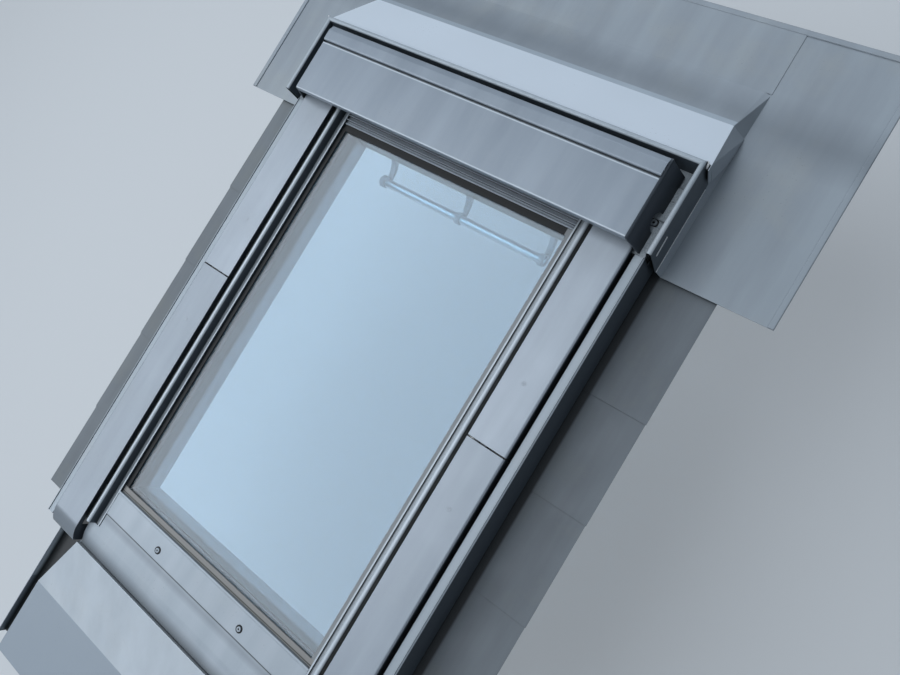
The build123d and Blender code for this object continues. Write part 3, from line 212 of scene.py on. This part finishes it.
def painted_timber():
    """Pine under white polyurethane: the grain shows as a faint ripple along the stiles."""
    material, tree, shader = finish_material("white_coated_pine")
    grain = add(tree, "ShaderNodeTexNoise", {"Vector": object_place(tree, TIMBER_STRETCH),
                                             "Scale": 1 / TIMBER_SIZE, "Detail": 5.0, "Distortion": 0.4})
    tone = ramp(add(tree, "ShaderNodeValToRGB", {"Fac": grain.outputs["Fac"]}),
                (0.3, "#dfe2dd"), (0.7, "#eceeea"))
    tree.links.new(tone, shader.inputs["Base Color"])
    bump = add(tree, "ShaderNodeBump", {"Height": grain.outputs["Fac"], "Strength": 0.12,
                                        "Distance": TIMBER_DEPTH, "Normal": soft_edges(tree, 1.5 * MM)})
    tree.links.new(bump.outputs["Normal"], shader.inputs["Normal"])
    shader.inputs["Roughness"].default_value = 0.38
    return material


def float_glass(name, tint):
    """Clear float glass of a sealed unit, tinted by the given colour, and dust dulls it in patches."""
    material, tree, shader = finish_material(name)
    haze = add(tree, "ShaderNodeTexNoise", {"Vector": object_place(tree), "Scale": 1 / HAZE_SIZE,
                                            "Detail": 6.0, "Roughness": 0.6})
    gloss = add(tree, "ShaderNodeMapRange", {"Value": haze.outputs["Fac"], "From Min": 0.45, "From Max": 0.8,
                                             "To Min": 0.0, "To Max": 0.03})
    tree.links.new(gloss.outputs["Result"], shader.inputs["Roughness"])
    shader.inputs["Base Color"].default_value = colour(tint)
    shader.inputs["Transmission Weight"].default_value = 1.0
    shader.inputs["IOR"].default_value = 1.5
    return material


def moulded(name, light, dark, roughness, grain_mm, depth_mm, edge_mm=0.6, zones=()):
    """Rubber, foam, plastic or an aged coating: even body colour with a fine surface grain of real size."""
    material, tree, shader = finish_material(name)
    grain = add(tree, "ShaderNodeTexNoise", {"Vector": object_place(tree), "Scale": 1 / (grain_mm * MM),
                                             "Detail": 3.0})
    tone = ramp(add(tree, "ShaderNodeValToRGB", {"Fac": grain.outputs["Fac"]}), (0.35, dark), (0.65, light))
    tree.links.new(with_zones(tree, tone, zones), shader.inputs["Base Color"])
    bump = add(tree, "ShaderNodeBump", {"Height": grain.outputs["Fac"], "Strength": 0.4,
                                        "Distance": depth_mm * MM, "Normal": soft_edges(tree, edge_mm * MM)})
    tree.links.new(bump.outputs["Normal"], shader.inputs["Normal"])
    shader.inputs["Roughness"].default_value = roughness
    return material


def bare_metal(name, light, dark, roughness, flake_mm):
    """Zinc plating, brass or anodised aluminium: metal with a mottled surface of real size."""
    material, tree, shader = finish_material(name)
    place = object_place(tree)
    flakes = add(tree, "ShaderNodeTexVoronoi", {"Vector": place, "Scale": 1 / (flake_mm * MM)})
    mottle = add(tree, "ShaderNodeTexNoise", {"Vector": place, "Scale": 1 / MOTTLE_SIZE, "Detail": 4.0})
    blend = add(tree, "ShaderNodeMix", {"Factor": 0.4, "A": mottle.outputs["Fac"],
                                        "B": flakes.outputs["Distance"]}, data_type="FLOAT")
    tone = ramp(add(tree, "ShaderNodeValToRGB", {"Fac": blend.outputs["Result"]}), (0.3, dark), (0.62, light))
    tree.links.new(tone, shader.inputs["Base Color"])
    gloss = add(tree, "ShaderNodeMapRange", {"Value": blend.outputs["Result"], "From Min": 0.2,
                                             "From Max": 0.7, "To Min": roughness - 0.06,
                                             "To Max": roughness + 0.1})
    tree.links.new(gloss.outputs["Result"], shader.inputs["Roughness"])
    tree.links.new(soft_edges(tree, 0.5 * MM), shader.inputs["Normal"])
    shader.inputs["Metallic"].default_value = 1.0
    return material


def standing_shading_zone(tree):
    """Folded-down faces of the sheets, painted dark as shade on most finishes and lighter as light on the
    saddle's.
    """
    return facing_up(tree, 0.62, 0.3)


def cover_gap_shade_zone(tree):
    """The dark hairline where the upper and lower covers part, painted shade of the gap between them."""
    return window(tree, *COVER_GAP_SHADE)


def cover_foot_shade_zone(tree):
    """The bent foot of the lower covers, painted darker as shade where it turns down."""
    return window(tree, *COVER_FOOT_SHADE)


def hood_edge_highlight_zone(tree):
    """Edges of the hood's panel, behind the front lip and under the ledge, with a pale painted highlight."""
    back = overlap(tree, window(tree, *HOOD_LEDGE_HIGHLIGHT), facing_up(tree, 0.8, 0.9))
    return either(tree, window(tree, *HOOD_LIP_HIGHLIGHT), back)


def gutter_shade_zone(tree):
    """The foot of the soakers' upstand, painted black as deep shade."""
    return either(tree, window(tree, *LEFT_GUTTER_SHADE), window(tree, *RIGHT_GUTTER_SHADE))


def strip_crease_shade_zone(tree):
    """The folded step along the bottom strip, painted dark in its corner as shade."""
    return window(tree, *STRIP_CREASE_SHADE)


def strip_step_shadow_zone(tree):
    """A faint painted shadow below the step."""
    return overlap(tree, window(tree, *STRIP_STEP_SHADOW), 0.3)


def strip_foot_shade_zone(tree):
    """The foot of the bottom cover, which turns down in front of the apron and is painted dark as shade there.
    """
    return window(tree, *STRIP_FOOT_SHADE)


def between_hips(tree, run):
    """Faces of the head flashing turned up, along a run of the slope and between the two hips."""
    run_zone = overlap(tree, window(tree, *run), window(tree, *HIP_TO_HIP))
    return overlap(tree, run_zone, facing_up(tree, 0.72, 0.78))


def collar_light_zone(tree):
    """The collar's slope behind the rail, painted lighter as the light that falls on it."""
    return between_hips(tree, COLLAR_SLOPE)


def crease_zone(tree):
    """The pressed crease between collar and saddle, given a darker grey stripe than the collar."""
    return between_hips(tree, COLLAR_CREASE)


def saddle_shade_zone(tree):
    """The trough of the saddle behind the crease, painted darker as shade."""
    return overlap(tree, window(tree, *SADDLE_TROUGH), 0.55)


def channel_dirt_and_shade_zone(tree):
    """The floor of the apron's side channels, painted dark both as wet dirt and as the deep shade there."""
    return window(tree, *CHANNEL_FLOOR)


def skirt_shade_zone(tree):
    """The flatter skirt of the apron below its crease, painted darker as shade than the steeper slope above.
    """
    return window(tree, *APRON_SKIRT)


def gasket_foot_zone(tree):
    """The gasket's lower run, grey with the dust that water leaves above the strip."""
    return window(tree, *GASKET_FOOT)


def gasket_right_zone(tree):
    """The gasket's right run, bleached by the sun."""
    return window(tree, *GASKET_RIGHT)


def gasket_joint_zone(tree):
    """A thin dark joint along the gasket's lower run."""
    return window(tree, *GASKET_JOINT)


# The coated sheets share one satin grey; they differ a little in lightness as painted light and shade, for how
# an uneven sky lights each of them
FINISHES = {
    # Covers and beads: a smooth sheen with soft streaks; folded sides painted dark as shade, a painted shade
    # line in the gap between the covers, and the lower covers' feet painted darker as shade
    "cover_paint": coated_sheet(
        "cover_coil_coating", "#9ca6b0", "#8f99a3", "#a9b0b5", roughness=0.36, edge_mm=1.0,
        zones=((standing_shading_zone, "#2f363d"), (cover_gap_shade_zone, "#15191c"))),
    "lower_cover_paint": coated_sheet(
        "lower_cover_coil_coating", "#929ca6", "#858f99", "#a1a8ad", roughness=0.36, edge_mm=1.0,
        zones=((cover_foot_shade_zone, "#6d767e"), (standing_shading_zone, "#2f363d"), (cover_gap_shade_zone, "#15191c"))),
    "bead_paint": coated_sheet(
        "bead_coil_coating", "#b3bdc5", "#a5afb7", "#b9bfc2", roughness=0.36, edge_mm=0.8,
        zones=((standing_shading_zone, "#434b53"),)),
    # Hood: a shade deeper and glossier, with a pale painted highlight line at its lip and ledge, between dark
    # matt ends
    "hood_paint": coated_sheet(
        "hood_coil_coating", "#8a95a0", "#7d8893", "#969ea4", roughness=0.34, edge_mm=1.2, dust_amount=0.3,
        zones=((hood_edge_highlight_zone, "#b9c3cb"),)),
    "hood_end_paint": coated_sheet(
        "hood_end_moulding", "#464e57", "#3b434b", "#525860", roughness=0.5, edge_mm=2.0, dust_amount=0.4),
    # Bottom strip and its screws: pale and even, with painted shade in the crease, a painted shadow below the
    # step, and a foot painted dark as shade
    "foot_paint": coated_sheet(
        "bottom_cover_coil_coating", "#9fa9b2", "#929da6", "#a9afb3", roughness=0.4, edge_mm=0.8,
        zones=((strip_step_shadow_zone, "#3a4147"), (strip_crease_shade_zone, "#23292d"), (strip_foot_shade_zone, "#363e44"))),
    "screw_paint": coated_sheet(
        "screw_seat_coil_coating", "#9fa9b2", "#929da6", "#a9afb3", roughness=0.4, edge_mm=0.3, fold_shade_amount=0.45),
    # Flashing: duller and dustier than the covers, because it lies flat in the wet, with folded sides painted
    # dark as shade
    "flashing_paint": coated_sheet(
        "flashing_coil_coating", "#a3aeb7", "#949fa7", "#b0b5b8", roughness=0.42, edge_mm=0.8,
        dust_amount=0.5, zones=((standing_shading_zone, "#3c454d"),)),
    # Apron: the skirt painted darker as shade, and the channel floors painted dark as wet dirt and deep shade
    "apron_paint": coated_sheet(
        "apron_coil_coating", "#bcc6ce", "#afb9c1", "#c3c8ca", roughness=0.42, edge_mm=0.8, dust_amount=0.4,
        zones=((skirt_shade_zone, "#89949e"), (channel_dirt_and_shade_zone, "#15191b"))),
    # Saddle: the trough painted darker as shade, the standing faces and the collar painted lighter as light,
    # and a darker stripe along the crease
    "saddle_paint": coated_sheet(
        "saddle_coil_coating", "#919ba3", "#838c94", "#9a9f9e", roughness=0.46, edge_mm=0.8, dust_amount=0.5,
        zones=((saddle_shade_zone, "#59626a"), (standing_shading_zone, "#a2abb3"), (collar_light_zone, "#d1dce6"),
               (crease_zone, "#929ea8")), fold_shade_amount=0.5),
    # Soakers: the foot of the upstand painted black as deep shade
    "soaker_paint": coated_sheet(
        "soaker_coil_coating", "#666e74", "#575e64", "#787b77", roughness=0.5, edge_mm=0.5, dust_amount=0.5,
        zones=((gutter_shade_zone, "#14181b"),)),
    # Bright white joinery behind glass; the outer pane's pale blue is a painted reflection of the sky
    "timber": painted_timber(),
    "outer_glass": float_glass("outer_float_glass", "#c2d4e4"),
    "inner_glass": float_glass("inner_float_glass", "#e4efee"),
    # Rubber: matt black, grey where sun and water reach it
    "gasket": moulded(
        "sun_bleached_epdm_rubber", "#0e1113", "#07090a", roughness=0.7, grain_mm=1.2, depth_mm=0.2,
        zones=((gasket_right_zone, "#858a8d"), (gasket_foot_zone, "#8c8c8a"),
               (gasket_joint_zone, "#2a2b2a"))),
    "seal": moulded("black_epdm_rubber", "#0e1113", "#07090a", roughness=0.8, grain_mm=1.2, depth_mm=0.2),
    # Foam: dry and open; painted shade in the screws' recesses and around their heads: nearly black; round
    # marks of the covers: clean paint with no streaks
    "foam": moulded("grey_foam", "#9da6ac", "#80888e", roughness=0.9, grain_mm=1.6, depth_mm=0.5),
    "recess_shade": moulded("painted_shade_in_recess", "#16191a", "#0c0e0f", roughness=0.8, grain_mm=0.8, depth_mm=0.1),
    "dent_paint": moulded("coil_coating_in_a_dent", "#9ea8b2", "#919ba5", roughness=0.4, grain_mm=2.0,
                          depth_mm=0.05, edge_mm=0.1),
    # Edges of the sheets: thin pale lines painted as highlights, softer on coated folds and bright on bare
    # edges
    "fold_highlight": moulded("painted_highlight_on_folded_edge", "#c6ced4", "#aab3b9", roughness=0.5, grain_mm=2.0,
                        depth_mm=0.1),
    "bright_edge": moulded("painted_highlight_on_bare_edge", "#f0f3f5", "#dfe4e7", roughness=0.4, grain_mm=2.0,
                           depth_mm=0.1),
    # Plastic: even dark grey clips, and white mouldings with a slight shine
    "clip": moulded("grey_glass_filled_nylon", "#3c4043", "#33373a", roughness=0.5, grain_mm=0.6,
                    depth_mm=0.05),
    "moulding": moulded("white_abs", "#e3e6e3", "#d7dbd8", roughness=0.35, grain_mm=0.8, depth_mm=0.04),
    # Metal: spangled zinc, the hinges' zinc painted dark as the shade in the cover gap, warm brass, and pale
    # even aluminium
    "zinc": bare_metal("zinc_plated_steel", "#b4b9bd", "#85898c", roughness=0.34, flake_mm=5.0),
    "hinge_zinc": bare_metal("zinc_plated_steel_painted_dark_as_shade", "#4b4f52", "#303336", roughness=0.45, flake_mm=5.0),
    "brass": bare_metal("satin_brass", "#b99a5b", "#8b6f3a", roughness=0.3, flake_mm=2.0),
    "spacer": bare_metal("mill_aluminium", "#a9acae", "#8f9294", roughness=0.45, flake_mm=3.0),
    "bar": bare_metal("satin_anodised_aluminium", "#d9dddd", "#c6cbcc", roughness=0.3, flake_mm=2.0),
}

WEARS = {
    "cover_paint": ("upper_cover_left", "upper_cover_right", "sash_top_cover"),
    "lower_cover_paint": ("lower_cover_left", "lower_cover_right"),
    "bead_paint": ("bead_left", "bead_right"),
    "hood_paint": ("hood",),
    "hood_end_paint": ("hood_end_left", "hood_end_right"),
    "foot_paint": ("bottom_bead", "bottom_cover"),
    "apron_paint": ("apron",),
    "flashing_paint": ("head_rail", "head_leg_left", "head_leg_right", "side_flashing_left",
                       "side_flashing_right"),
    "saddle_paint": ("head_flashing",),
    "soaker_paint": ("soakers_left", "soakers_right"),
    "timber": ("frame_head", "frame_sill", "frame_stile_left", "frame_stile_right", "sash_stile_left",
               "sash_stile_right", "sash_top_rail", "sash_bottom_rail", "vent_flap"),
    "outer_glass": ("pane_outer",),
    "inner_glass": ("pane_inner",),
    "gasket": ("glazing_gasket",),
    "seal": ("frame_seal",),
    "foam": ("channel_strips",),
    "clip": ("cover_clips", "sash_clips", "hood_clips"),
    "moulding": ("bar_brackets", "barrel_housing"),
    "zinc": ("bracket_top_left", "bracket_top_right", "bracket_bottom_left", "bracket_bottom_right",
             "bracket_screws", "striker_plate", "latch_case", "latch_bolt", "channel_screws", "bottom_screws",
             "flashing_cleats"),
    "hinge_zinc": ("frame_hinge_left", "frame_hinge_right", "sash_hinge_left", "sash_hinge_right"),
    "brass": ("barrel_bolt", "bolt_bushes"),
    "spacer": ("spacer",),
    "bar": ("control_bar",),
}

for finish, wearers in WEARS.items():
    for name in wearers:
        mesh = nodes[name].data
        mesh.materials.clear()
        mesh.materials.append(FINISHES[finish])


def made(name, build, finishes, body, stands_for=(), both_sides=True):
    """A new piece from a bmesh in millimetres, riding on a body, mirrored if it has a twin on the left."""
    if both_sides:
        right_side = build.verts[:] + build.edges[:] + build.faces[:]
        bmesh.ops.mirror(build, geom=right_side, axis="X", merge_dist=0.0001)
    bmesh.ops.recalc_face_normals(build, faces=build.faces)
    bmesh.ops.scale(build, vec=(MM, MM, MM), verts=build.verts)
    mesh = bpy.data.meshes.new(name)
    build.to_mesh(mesh)
    build.free()
    for finish in finishes:
        mesh.materials.append(FINISHES[finish])
    piece = bpy.data.objects.new(name, mesh)
    bpy.context.scene.collection.objects.link(piece)
    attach(piece, body)
    if stands_for:
        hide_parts(*stands_for)


def topmost(build):
    """The face whose middle is highest."""
    return max(build.faces, key=lambda face: face.calc_center_median().z)


def pushed(build, face, move):
    """Extrudes one face by a move and gives the new face."""
    grown = bmesh.ops.extrude_face_region(build, geom=[face] + face.edges[:])["geom"]
    corners = [part for part in grown if isinstance(part, bmesh.types.BMVert)]
    bmesh.ops.translate(build, vec=move, verts=corners)
    return next(part for part in grown if isinstance(part, bmesh.types.BMFace))


def screw_head(place, radius, height):
    """Pan head with a six-lobed recess, whose bottom is painted dark as shade."""
    build = bmesh.new()
    bmesh.ops.create_cone(build, cap_ends=True, segments=24, radius1=radius, radius2=0.94 * radius,
                          depth=height, matrix=Matrix.Translation((0, 0, height / 2)))
    bmesh.ops.bevel(build, geom=topmost(build).edges[:], offset=0.32 * height, offset_type="OFFSET",
                    segments=3, profile=0.5, affect="EDGES", material=-1)
    top = topmost(build)
    bmesh.ops.inset_region(build, faces=[top], thickness=0.33 * radius)
    around = sorted(top.verts, key=lambda vert: math.atan2(vert.co.y, vert.co.x))
    bmesh.ops.scale(build, vec=(0.8, 0.8, 1), verts=around[0::4] + around[1::4])
    pushed(build, top, (0, 0, -0.7 * height)).material_index = 1
    bmesh.ops.translate(build, vec=place, verts=build.verts)
    return build


def disc(place, radius, finish_index=0):
    """Round patch of one face, just above a sheet."""
    build = bmesh.new()
    bmesh.ops.create_circle(build, cap_ends=True, segments=32, radius=radius)
    for face in build.faces:
        face.material_index = finish_index
    bmesh.ops.translate(build, vec=place, verts=build.verts)
    return build


def drawn_out(section, *runs):
    """A closed section, drawn along straight runs one after another."""
    build = bmesh.new()
    end = build.faces.new([build.verts.new(point) for point in section])
    for run in runs:
        end = pushed(build, end, run)
    return build


def joined(first, second):
    """Puts the second mesh into the first one."""
    extra = bpy.data.meshes.new("second")
    second.to_mesh(extra)
    second.free()
    first.from_mesh(extra)
    bpy.data.meshes.remove(extra)
    return first


# Painted screws of the bottom strip, each on a dark disc of painted shade a little wider than its head
STRIP_SCREW = (104.0, -426.0, 130.7)
STRIP_SCREW_SHADE = (104.0, -426.0, 130.85)
made("bottom_screw_heads",
     joined(disc(STRIP_SCREW_SHADE, radius=6.6, finish_index=1),
            screw_head(STRIP_SCREW, radius=4.2, height=1.9)),
     ("screw_paint", "recess_shade"), "sash", ("bottom_screws",))

# Screws of the channel, as dull and grey as the foam around them, each on a dark disc of painted shade
CHANNEL_SCREW = (339.0, 429.0, 132.0)
CHANNEL_SCREW_SHADE = (339.0, 429.0, 132.18)
made("channel_screw_heads",
     joined(disc(CHANNEL_SCREW_SHADE, radius=7.6, finish_index=1),
            screw_head(CHANNEL_SCREW, radius=5.4, height=3.0)),
     ("foam", "recess_shade"), "frame", ("channel_screws",))

# Faint round marks of the covers, over their seats
DENT_X, DENT_Z = 300.5, 147.3
for body, dent_y in (("frame", 133.0), ("sash", -77.0)):
    made(f"cover_dents_{body}", disc((DENT_X, dent_y, DENT_Z), radius=3.4), ("dent_paint",), body)

# Edge of the clip inside each leg near its low end, bright as a painted highlight
CLIP_EDGE = ((368.2, 384.0, 139.0), (369.6, 384.0, 139.3), (369.6, 384.0, 140.9), (368.2, 384.0, 141.2))
made("leg_clip_edges", drawn_out(CLIP_EDGE, (0, 31, 2.5)), ("bright_edge",), "frame")

# Bare tongue at each corner of the rail, bright as a painted highlight
TONGUE = ((368.2, 523.0, 151.0), (370.6, 523.0, 151.4), (370.6, 523.0, 154.8), (368.2, 523.0, 155.4))
made("rail_corner_tongues", drawn_out(TONGUE, (0.4, 4.5, 5.0), (-0.8, 1.4, 4.0)), ("bright_edge",), "frame")

# Edges painted as highlights where they catch the light: the foot of each leg and the fold of the apron's
# channel
FOOT_EDGE = ((368.4, 377.0, 86.0), (369.6, 377.0, 86.1), (369.6, 377.0, 87.4), (368.4, 377.0, 87.6))
made("leg_foot_edges", drawn_out(FOOT_EDGE, (0, 144, 0)), ("bright_edge",), "frame")
CHANNEL_EDGE = ((371.8, -797.0, 63.8), (373.4, -797.0, 63.8), (373.2, -797.0, 65.2), (372.0, -797.0, 65.2))
made("apron_channel_edges", drawn_out(CHANNEL_EDGE, (0, 273.5, 0)), ("fold_highlight",), "frame")

# Hems folded over along the edges of the head flashing, as (distance in from the edge, height)
HEM = ((0, 63.0), (0, 64.4), (1.2, 65.0), (8.0, 65.0), (8.8, 64.5), (9.0, 63.0))
SIDE_EDGE_X = 548.6
HEAD_EDGE_Y = 819.6
made("head_flashing_side_hems", drawn_out([(SIDE_EDGE_X - inwards, 379.4, up) for inwards, up in HEM],
                                          (0, 430.6, 0)), ("saddle_paint",), "frame")
made("head_flashing_head_hem", drawn_out([(-SIDE_EDGE_X, HEAD_EDGE_Y - inwards, up) for inwards, up in HEM],
                                         (2 * SIDE_EDGE_X, 0, 0)), ("saddle_paint",), "frame",
     both_sides=False)


def seen_or_mirrored(tree):
    """1 for what the camera sees, straight on, in a mirror or through glass; 0 for light on the object."""
    path = add(tree, "ShaderNodeLightPath").outputs
    mirrored = either(tree, path["Is Glossy Ray"], path["Is Transmission Ray"])
    return either(tree, path["Is Camera Ray"], mirrored)


# Stage: a pale floor far enough below the window for the turned sash, and a pale backdrop
FLOOR_SIZE = 40
FLOOR_Z = -0.55
bpy.ops.mesh.primitive_plane_add(size=FLOOR_SIZE, location=(0, 0, FLOOR_Z))
floor = bpy.context.object
floor.name = "floor"
floor_material, floor_tree, floor_shader = finish_material("pale_floor")
floor_shader.inputs["Base Color"].default_value = colour("#aab0b5")
floor_shader.inputs["Emission Color"].default_value = colour("#ced4d9")
floor_shader.inputs["Emission Strength"].default_value = 0.3
floor_shader.inputs["Roughness"].default_value = 0.85
# The floor is pale where it is seen and dull where it would throw light up under the covers
dull = add(floor_tree, "ShaderNodeBsdfDiffuse", {"Color": colour("#454b50")})
choice = add(floor_tree, "ShaderNodeMixShader", {0: seen_or_mirrored(floor_tree), 1: dull.outputs["BSDF"],
                                                 2: floor_shader.outputs["BSDF"]})
floor_tree.links.new(choice.outputs["Shader"], floor_tree.nodes["Material Output"].inputs["Surface"])
floor.data.materials.append(floor_material)

# The backdrop is bright where it is seen and dim as a light, so that the folds keep their shade
DIM_STRENGTH = 0.22
SEEN_STRENGTH = 0.8
world = bpy.data.worlds.new("studio")
bpy.context.scene.world = world
world.use_nodes = True
world_tree = world.node_tree
background = world_tree.nodes["Background"]
background.inputs["Color"].default_value = colour("#d6e1ee")
strength = add(world_tree, "ShaderNodeMapRange", {"Value": seen_or_mirrored(world_tree),
                                                  "To Min": DIM_STRENGTH, "To Max": SEEN_STRENGTH})
world_tree.links.new(strength.outputs["Result"], background.inputs["Strength"])


def softbox(name, place, aim, size, watts, tint):
    """A large soft lamp at place, facing aim."""
    lamp = bpy.data.lights.new(name, "AREA")
    lamp.shape = "RECTANGLE"
    lamp.size, lamp.size_y = size
    lamp.energy = watts
    lamp.color = colour(tint)[:3]
    holder = bpy.data.objects.new(name, lamp)
    bpy.context.scene.collection.objects.link(holder)
    holder.location = place
    direction = Vector(aim) - Vector(place)
    holder.rotation_euler = direction.to_track_quat("-Z", "Y").to_euler()


softbox("overhead_softbox", place=(-1.5, -0.35, 3.0), aim=(0, 0, 0.1), size=(3.4, 3.4), watts=104,
        tint="#f1f5fa")
softbox("head_softbox", place=(-0.2, 3.2, 2.0), aim=(0, 0.4, 0.1), size=(2.4, 1.6), watts=31,
        tint="#e6effb")
softbox("foot_softbox", place=(-0.6, -3.4, 1.6), aim=(0, -0.6, 0.1), size=(2.4, 1.4), watts=18,
        tint="#eef3fa")

# Camera: fitted to the photograph's view of the window, seen from above and to the right
CAMERA_PLACE = (0.5810, 0.1200, 1.0918)
CAMERA_RIGHT = Vector((0.7867, 0.5158, -0.3392)).normalized()
CAMERA_FORWARD = Vector((-0.4044, 0.0154, -0.9145)).normalized()
LENS_MM = 27.12
SENSOR_MM = 36.0

camera_data = bpy.data.cameras.new("camera")
camera_data.sensor_width = SENSOR_MM
camera_data.lens = LENS_MM
camera = bpy.data.objects.new("camera", camera_data)
bpy.context.scene.collection.objects.link(camera)
camera_up = CAMERA_RIGHT.cross(CAMERA_FORWARD).normalized()
turn = Matrix((CAMERA_RIGHT, camera_up, -CAMERA_FORWARD)).transposed()
camera.matrix_world = Matrix.Translation(CAMERA_PLACE) @ turn.to_4x4()
bpy.context.scene.camera = camera

bpy.context.scene.view_settings.view_transform = "Standard"
